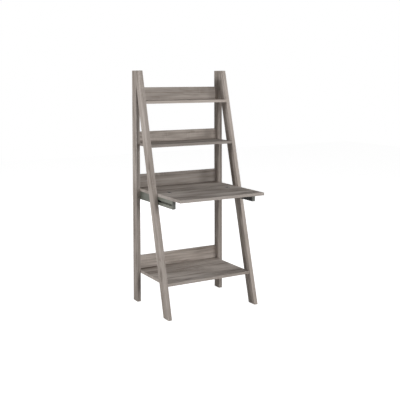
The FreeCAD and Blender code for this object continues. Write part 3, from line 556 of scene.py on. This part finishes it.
def moulded(name, colour, roughness, texture=1400, depth=0.00004):
    """Moulded plastic or rubber, with the fine texture of its mould and a little dust."""
    material, port = new_material(name)
    place = place_on_object(port)
    skin = place.noise((texture, texture, texture), 3.3)
    dust = place.noise((55, 55, 55), 7.1)
    darker = tuple(0.85 * part for part in colour)
    lighter = tuple(1.18 * part + 0.002 for part in colour)
    close_material(
        port,
        {
            "Base Color": dust.ramp([(0.3, darker), (0.7, lighter)]),
            "Roughness": roughness + 0.12 * (skin - 0.5) + 0.08 * (dust - 0.5),
            "IOR": 1.49,
        },
        skin,
        depth,
    )
    return material


black_plastic = moulded("black_plastic", (0.016, 0.016, 0.016), roughness=0.42)
GLIDE = [(0, 0.0078), (-0.0002, 0.0090), (-0.0006, 0.0097), (-0.0011, 0.0100), (-0.0020, 0.0100)]

# The middle of a post and of a leg's foot, from rear to front.
POST_Y = REAR - POST_HALF[1]
LEG_FOOT_Y = REAR - 0.48779

glide_places = [
    ((sign * SIDE_X, y, 0), (0, 0, -1), (1, 0, 0))
    for sign in SIDES.values()
    for y in (POST_Y, LEG_FOOT_Y)
]
turned_pieces(
    "feet_glides",
    GLIDE,
    glide_places,
    black_plastic,
    body="frame",
    replaced="foot_glides",
    sides=40,
)


# ---------------------------------------------------------------------------------------------
# Shelves. Four 18 mm foil-wrapped particle boards between the side frames, deeper towards the
# floor, with the grain from side to side. The third is the fixed rear part of the desk.
# ---------------------------------------------------------------------------------------------

GRAIN_LEVEL = Matrix.Identity(3)

# Each board's heart in the log, seed, factor of its colours and figure. The factor is partly the
# board's own tone and partly painted light, as the top shelf lighter and the second shelf darker
# by how light falls on them.
SHELVES = [
    ("top_shelf", (0.02, 0.050, 0.02), 31.0, 1.33, 1.0),
    ("second_shelf", (-0.03, 0.045, -0.03), 37.0, 0.76, 1.0),
    ("desk_shelf", (0.05, 0.060, 0.04), 44.6, 1.01, 1.5),
    ("bottom_shelf", (-0.04, 0.070, -0.05), 46.3, 1.05, 1.5),
]

for node, heart, seed, tone_and_painted_light, figure in SHELVES:
    low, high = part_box(node)
    print_oak(node, GRAIN_LEVEL, (high - low) / 2, heart, seed, tone_and_painted_light, figure)


# ---------------------------------------------------------------------------------------------
# Cam fittings. At each shelf end two zinc die-cast cams sit in the underside and grip the heads
# of steel bolts that are screwed into post and leg.
# ---------------------------------------------------------------------------------------------

cast_zinc = plated_metal(
    "cast_zinc",
    (0.42, 0.42, 0.41),
    roughness=0.52,
    metallic=0.85,
    grain=(900, 900, 900),
    depth=0.00008,
)
SHELF_UNDERSIDES = (1.331, 1.050, 0.746, 0.195)
SHELF_THICKNESS = 0.018
CAM_X = 0.275
BOLT_X = 0.277
CAM = [(0, 0.0068), (-0.0005, 0.0074), (-0.0134, 0.0074)]
CAM_CUTS = cross_recess(span=0.0090, width=0.0017, depth=0.0032)
CAM_CUTS += [((0, -0.0035, -0.0134), (0.0090, 0.0035, -0.0056))]
BOLT = [(0, 0.0022), (-0.0005, 0.0029), (-0.0030, 0.0029), (-0.0034, 0.0017), (-0.0085, 0.0017)]
BOLT += [(-0.0090, 0.0026), (-0.0270, 0.0026), (-0.0272, 0.0029), (-0.0280, 0.0029)]
BOLT += threaded(-0.0284, -0.0399, core=0.0022, crest=0.0029, pitch=0.0016)

cam_places = []
bolt_places = []
for underside in SHELF_UNDERSIDES:
    middle = underside + SHELF_THICKNESS / 2
    leg_y = LEG_MIDDLE.y + LEG_SLOPE * (middle - LEG_MIDDLE.z)
    for sign in SIDES.values():
        for y in (POST_Y, leg_y):
            cam_places.append(((sign * CAM_X, y, underside), (0, 0, -1), (sign, 0, 0)))
            bolt_places.append(((sign * BOLT_X, y, middle), (-sign, 0, 0), (0, 0, 1)))
turned_pieces(
    "shelf_cams",
    CAM,
    cam_places,
    cast_zinc,
    body="frame",
    replaced="cam_discs",
    cutter=CAM_CUTS,
)
turned_pieces(
    "shelf_bolts",
    BOLT,
    bolt_places,
    bright_zinc,
    body="frame",
    replaced="cam_bolts",
    sides=20,
)


# ---------------------------------------------------------------------------------------------
# Backboards. Four 16 mm boards that stand on the rear edge of the shelves and keep things from
# falling off behind, wrapped in the same foil with its grain from side to side.
# ---------------------------------------------------------------------------------------------

GRAIN_ON_EDGE = Matrix.Rotation(math.radians(90), 3, "X")
BACKBOARD_FIGURE = 0.8

# Each board's heart in the log, seed and factor of its colours. The factor is partly the board's
# own tone and partly painted light, as the desk backboard darker where it lies in shade.
BACKBOARDS = [
    ("top_backboard", (0.03, 0.030, 0.03), 59.4, 0.99),
    ("second_backboard", (-0.02, 0.040, 0.02), 59.0, 1.21),
    ("desk_backboard", (0.01, 0.050, -0.03), 65.3, 0.77),
    ("bottom_backboard", (0.04, 0.035, 0.04), 68.0, 1.25),
]

for node, heart, seed, tone_and_painted_light in BACKBOARDS:
    low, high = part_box(node)
    half = (high - low) / 2
    half_size = (half.x, half.z, half.y)
    print_oak(node, GRAIN_ON_EDGE, half_size, heart, seed, tone_and_painted_light, BACKBOARD_FIGURE)


# ---------------------------------------------------------------------------------------------
# Screws of the backboards. Two 42 mm chipboard screws come up through each shelf into the lower
# edge of its backboard, their heads against the shelf's underside. Steel, bright zinc plated.
# ---------------------------------------------------------------------------------------------

BACKBOARD_SCREW = [(0, 0.0026), (-0.0004, 0.0035), (-0.0009, 0.0040), (-0.0022, 0.0040)]
BACKBOARD_SCREW += [(-0.0022, 0.0018), (-0.0060, 0.0018)]
BACKBOARD_SCREW += threaded(-0.0065, -0.0422, core=0.0012, crest=0.0020, pitch=0.0022)
BACKBOARD_SCREW_HEAD = 0.0022
BACKBOARD_SCREW_X = 0.15
BACKBOARD_THICKNESS = 0.016
BACKBOARD_Y = REAR - BACKBOARD_THICKNESS / 2

backboard_screw_places = [
    ((x, BACKBOARD_Y, underside - BACKBOARD_SCREW_HEAD), (0, 0, -1), any_turn((0, 0, -1)))
    for underside in SHELF_UNDERSIDES
    for x in (-BACKBOARD_SCREW_X, BACKBOARD_SCREW_X)
]
turned_pieces(
    "shelf_screws",
    BACKBOARD_SCREW,
    backboard_screw_places,
    bright_zinc,
    body="frame",
    replaced="backboard_screws",
    cutter=cross_recess(span=0.0044, width=0.0009, depth=0.0015),
)


# ---------------------------------------------------------------------------------------------
# Support slides. On each side a rolled steel guide is fixed to a plate on post and leg. A sheet
# cage of rollers runs on it at half the speed of the arm, which pulls out under the leaf. Dull
# grey zinc plated, its cap of grey plastic. The arm's side towards the knees is painted near
# black as the shade under the leaf.
# ---------------------------------------------------------------------------------------------

# The side boards' inner face, the middle height of the slides, and the arm's side to the knees.
INNER_FACE = 0.305
SLIDE_LEVEL = 0.7192
ARM_SIDE = INNER_FACE - 0.024

DRAWN_MARKS = (300, 9, 300)
ZINC_METALLIC = 0.5
ZINC_ROUGHNESS = 0.46
# Near-black painted shade for the arm's side towards the knees, which lies under the leaf.
ARM_PAINTED_SHADE = (0.020, 0.019, 0.019, 1)


def arm_with_painted_shade(name, colour):
    """The slides' plating, with painted shade: near black on the side towards the knees, which lies
    in the shadow under the leaf.
    """
    material, port = new_material(name)
    place = place_on_object(port)
    offset = abs(port.node("ShaderNodeSeparateXYZ", {}, {"Vector": place}, output=0))
    # Painted shade: this mask is 1 on the arm's side towards the knees, where the leaf shades it.
    black = 1 - offset.step(ARM_SIDE + 0.0008, ARM_SIDE + 0.0016)
    tint, rough, marks = plating(place, colour, ZINC_ROUGHNESS, DRAWN_MARKS)
    close_material(
        port,
        {
            "Base Color": black.blend(tint, ARM_PAINTED_SHADE),
            "Metallic": ZINC_METALLIC * (1 - black),
            "Roughness": rough + 0.2 * black,
            "Specular IOR Level": 0.3,
        },
        marks,
        MARK_DEPTH,
    )
    return material


slide_zinc = plated_metal(
    "slide_zinc", (0.122, 0.127, 0.107), ZINC_ROUGHNESS, ZINC_METALLIC, grain=DRAWN_MARKS
)
# The arm's plating, with painted shade on its side towards the knees.
arm_zinc_painted_shade = arm_with_painted_shade("arm_zinc_painted_shade", (0.18, 0.186, 0.158))
cap_plastic = moulded("cap_plastic", (0.086, 0.089, 0.078), roughness=0.50)
bumper_rubber = moulded(
    "bumper_rubber", (0.022, 0.021, 0.020), roughness=0.80, texture=700, depth=0.00008
)
for side in SIDES:
    for part in ("slide_plate", "guide_rail", "roller_cage"):
        dress(side + "_" + part, slide_zinc)
    dress(side + "_support_arm", arm_zinc_painted_shade)
    dress(side + "_guide_end_plug", black_plastic)
    dress(side + "_guide_bumpers", bumper_rubber)
    dress(side + "_arm_cap", cap_plastic)


# ---------------------------------------------------------------------------------------------
# Screws of the slides. Four countersunk wood screws on each side, two into the post and two
# into the leg, hold the slide's plate. Steel, zinc plated like the slides.
# ---------------------------------------------------------------------------------------------

PLATE_SCREW = [(0, 0.0035), (-0.0002, 0.0037), (-0.0017, 0.0020), (-0.0030, 0.0018)]
PLATE_SCREW += threaded(-0.0034, -0.0176, core=0.0013, crest=0.0020, pitch=0.0018)
PLATE_SCREW_FACE = INNER_FACE - 0.0019
PLATE_SCREW_DEPTHS = (0.045, 0.297)
PLATE_SCREW_RISE = 0.015

plate_screw_places = [
    (
        (sign * PLATE_SCREW_FACE, REAR - depth, SLIDE_LEVEL + rise),
        (-sign, 0, 0),
        any_turn((-sign, 0, 0)),
    )
    for sign in SIDES.values()
    for depth in PLATE_SCREW_DEPTHS
    for rise in (-PLATE_SCREW_RISE, PLATE_SCREW_RISE)
]
turned_pieces(
    "plate_screws",
    PLATE_SCREW,
    plate_screw_places,
    slide_zinc,
    body="frame",
    replaced="slide_screws",
    cutter=cross_recess(span=0.0042, width=0.0009, depth=0.0014),
)


# ---------------------------------------------------------------------------------------------
# Rivets of the slides. Three on each side hold the guide to its plate, their flat heads on the
# plate's outer side between post and leg. Steel, zinc plated like the slides.
# ---------------------------------------------------------------------------------------------

RIVET = [(0, 0.0027), (-0.0003, 0.0037), (-0.0006, 0.0040), (-0.0008, 0.0040), (-0.0008, 0.0020)]
RIVET += [(-0.0078, 0.0020), (-0.0078, 0.0029), (-0.0083, 0.0026), (-0.0085, 0.0018)]
HEAD_THICKNESS = 0.0008
RIVET_FACE = INNER_FACE + HEAD_THICKNESS
RIVET_DEPTHS = (0.095, 0.160, 0.225)

rivet_places = [
    ((sign * RIVET_FACE, REAR - depth, SLIDE_LEVEL), (sign, 0, 0), (0, 0, 1))
    for sign in SIDES.values()
    for depth in RIVET_DEPTHS
]
turned_pieces(
    "guide_rivets",
    RIVET,
    rivet_places,
    slide_zinc,
    body="frame",
    replaced="slide_rivets",
)


# ---------------------------------------------------------------------------------------------
# Rollers and stop studs. Six steel rollers in each cage carry the arm on the guide's two
# tracks. A headed steel stud through the arm's side meets the guide's rubber stops at both
# ends of its travel.
# ---------------------------------------------------------------------------------------------

ROLLER = [(0, 0.0015), (-0.0004, 0.0019), (-0.0052, 0.0019), (-0.0056, 0.0015)]
ROLLER_END = INNER_FACE - 0.0133
ROLLER_DEPTHS = (0.242, 0.273, 0.304)
TRACK_OFFSET = 0.0225
STUD = [(0, 0.0027), (-0.0003, 0.0037), (-0.0005, 0.0040), (-0.0008, 0.0040), (-0.0008, 0.0020)]
STUD += [(-0.0026, 0.0020), (-0.0026, 0.0030), (-0.0160, 0.0030), (-0.0164, 0.0026)]
STUD_FACE = ARM_SIDE - HEAD_THICKNESS
STUD_DEPTH = 0.236

for side, sign in SIDES.items():
    roller_places = [
        ((sign * ROLLER_END, REAR - depth, SLIDE_LEVEL + rise), (-sign, 0, 0), (0, 0, 1))
        for depth in ROLLER_DEPTHS
        for rise in (-TRACK_OFFSET, TRACK_OFFSET)
    ]
    turned_pieces(
        side + "_track_rollers",
        ROLLER,
        roller_places,
        bright_zinc,
        body=side + "_cage",
        replaced=side + "_rollers",
    )
    stud_place = ((sign * STUD_FACE, REAR - STUD_DEPTH, SLIDE_LEVEL), (-sign, 0, 0), (0, 0, 1))
    turned_pieces(
        side + "_arm_stud",
        STUD,
        [stud_place],
        bright_zinc,
        body=side + "_arm",
        replaced=side + "_stop_stud",
    )


# ---------------------------------------------------------------------------------------------
# Desk leaf. An 18 mm foil-wrapped board hinged to the desk shelf's front edge. It folds up and
# back for storage, and lies on the two pulled-out arms when the desk is in use.
# ---------------------------------------------------------------------------------------------

low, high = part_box("desk_leaf")
# The leaf's colours are scaled partly for its own tone and partly as painted light, its top darker
# where less light falls on it.
print_oak(
    "desk_leaf",
    GRAIN_LEVEL,
    (high - low) / 2,
    heart=(0.03, 0.055, 0.045),
    seed=72.0,
    tone_and_painted_light=0.84,
    figure=1.7,
    edge_tone=0.16,
)


# ---------------------------------------------------------------------------------------------
# Flap hinges. Two pairs of round die-cast cups let in flush with the desk's top, joined by a
# knuckle on the line between shelf and leaf, and coloured near black as painted shade, as of a
# deep hole. They turn on bright steel pins.
# ---------------------------------------------------------------------------------------------

# The hinge cups' near-black colour is painted shade, as of a deep hole, not a plating.
hinge_cup_painted_shade = plated_metal(
    "hinge_cup_painted_shade", (0.035, 0.033, 0.032), roughness=0.55, metallic=0.2
)
bright_nickel = plated_metal("bright_nickel", (0.42, 0.42, 0.38), roughness=0.34, metallic=1.0)
for node in ("leaf_hinge_cups", "shelf_hinge_cups"):
    dress(node, hinge_cup_painted_shade)

PIN = [(0, 0.0008), (-0.0004, 0.0012), (-0.0176, 0.0012), (-0.0180, 0.0008)]
PIN_HALF = 0.009
HINGE_X = 0.218
HINGE_Y = REAR - 0.3205
DESK_TOP = 0.764

pin_places = [
    ((sign * HINGE_X + PIN_HALF, HINGE_Y, DESK_TOP), (1, 0, 0), (0, 0, 1))
    for sign in SIDES.values()
]
turned_pieces(
    "knuckle_pins",
    PIN,
    pin_places,
    bright_nickel,
    body="frame",
    replaced="hinge_pins",
    sides=20,
)


# ---------------------------------------------------------------------------------------------
# Adjusting screws of the hinges. One in the middle of each leaf cup, standing a little proud
# of it, with a cross recess. Steel, bright nickel plated.
# ---------------------------------------------------------------------------------------------

ADJUSTER = [(0, 0.0030), (-0.0003, 0.0033), (-0.0016, 0.0033)]
ADJUSTER_Y = HINGE_Y - 0.015
ADJUSTER_TOP = DESK_TOP + 0.0004

adjuster_places = [
    ((sign * HINGE_X, ADJUSTER_Y, ADJUSTER_TOP), (0, 0, 1), any_turn((0, 0, 1)))
    for sign in SIDES.values()
]
turned_pieces(
    "hinge_adjusters",
    ADJUSTER,
    adjuster_places,
    bright_nickel,
    body="leaf",
    cutter=cross_recess(span=0.0040, width=0.0009, depth=0.0012),
)


# ---------------------------------------------------------------------------------------------
# Studio. A plain pale floor that runs out into a white backdrop, soft lamps on the left, in
# front, on the right, above and behind, and a little even light from all round.
# ---------------------------------------------------------------------------------------------

FLOOR_HALF = 9.0
FLOOR_THICKNESS = 0.02
FLOOR_GLOW = 0.90
FLOOR_PAINT = [(0.3, (0.60, 0.60, 0.60)), (0.7, (0.64, 0.64, 0.64))]
ROOM_LIGHT = 0.125


def seen_directly(port):
    """1 for what the camera sees directly, in gloss or through glass, and 0 for other rays."""
    rays = [
        port.node("ShaderNodeLightPath", {}, {}, output=name)
        for name in ("Is Camera Ray", "Is Glossy Ray", "Is Transmission Ray")
    ]
    return port.math("MAXIMUM", port.math("MAXIMUM", rays[0], rays[1]), rays[2])


floor_box = ((-FLOOR_HALF, -FLOOR_HALF, -FLOOR_THICKNESS), (FLOOR_HALF, FLOOR_HALF, 0))
floor = add_object("floor", boxes("floor", [floor_box]))
material, port = new_material("pale_floor")
speck = place_on_object(port).noise((35, 35, 35), 0.4, 3.0)
matt = port.node("ShaderNodeBsdfDiffuse", {}, {"Color": speck.ramp(FLOOR_PAINT)})
glow = port.node("ShaderNodeEmission", {}, {"Strength": FLOOR_GLOW * seen_directly(port)})
lit = port.node("ShaderNodeAddShader", {}, {0: matt, 1: glow})
port.node("ShaderNodeOutputMaterial", {}, {"Surface": lit})
floor.data.materials.append(material)

world = bpy.data.worlds.new("studio")
bpy.context.scene.world = world
world.use_nodes = True
world.node_tree.nodes.clear()
port = Port(world.node_tree)
strength = ROOM_LIGHT + (1 - ROOM_LIGHT) * seen_directly(port)
sky = port.node("ShaderNodeBackground", {}, {"Color": (1, 1, 1, 1), "Strength": strength})
port.node("ShaderNodeOutputWorld", {}, {"Surface": sky})


def soft_lamp(name, place, aim, width, height, power):
    """A rectangular soft lamp that faces a point."""
    lamp = bpy.data.lights.new(name, "AREA")
    lamp.shape = "RECTANGLE"
    lamp.size = width
    lamp.size_y = height
    lamp.energy = power
    holder = add_object(name, lamp)
    holder.location = place
    holder.rotation_euler = (Vector(aim) - Vector(place)).to_track_quat("-Z", "Y").to_euler()


# Each lamp's place, its aim, its width and height in metres, and its power in watts.
soft_lamp("far_left_lamp", (-8.0, 0.08, 2.3), (0, 0.08, 1.0), 0.3, 0.5, 213)
soft_lamp("left_lamp", (-2.7, 0.15, 1.65), (0, 0.15, 1.1), 0.35, 0.9, 20)
soft_lamp("front_lamp", (0.15, -4.2, 1.6), (0, 0, 0.95), 0.8, 0.8, 78)
soft_lamp("right_front_lamp", (1.5, -2.8, 1.3), (0, 0, 0.9), 0.5, 1.2, 16.5)
soft_lamp("right_lamp", (2.9, -0.6, 1.2), (0, 0, 0.9), 0.4, 1.4, 18)
soft_lamp("top_lamp", (0, -0.6, 3.4), (0, -0.1, 0.8), 1.5, 1.5, 6)
soft_lamp("rear_lamp", (0.9, 4.4, 1.3), (0, 0, 0.9), 1.0, 1.0, 45)


# ---------------------------------------------------------------------------------------------
# Camera. It stands in front and to the left, about at the height of the top shelf, and its
# frame is shifted a little so that the desk's uprights stay upright.
# ---------------------------------------------------------------------------------------------

CAMERA_PLACE = (-2.3479, -4.2101, 1.5081)
CAMERA_YAW = math.radians(30.8384)
CAMERA_PITCH = math.radians(-2.9357)
CAMERA_ROLL = math.radians(-0.0802)
CAMERA_LENS = 66.324
CAMERA_SHIFT = (-0.05067, -0.21408)

level_step = math.cos(CAMERA_PITCH)
ahead = Vector(
    (
        math.sin(CAMERA_YAW) * level_step,
        math.cos(CAMERA_YAW) * level_step,
        math.sin(CAMERA_PITCH),
    )
)
turn = ahead.to_track_quat("-Z", "Y").to_matrix() @ Matrix.Rotation(CAMERA_ROLL, 3, "Z")
lens = bpy.data.cameras.new("camera")
lens.lens = CAMERA_LENS
lens.shift_x, lens.shift_y = CAMERA_SHIFT
camera = add_object("camera", lens)
camera.location = CAMERA_PLACE
camera.rotation_euler = turn.to_euler()
bpy.context.scene.camera = camera
bpy.context.scene.view_settings.view_transform = "Standard"
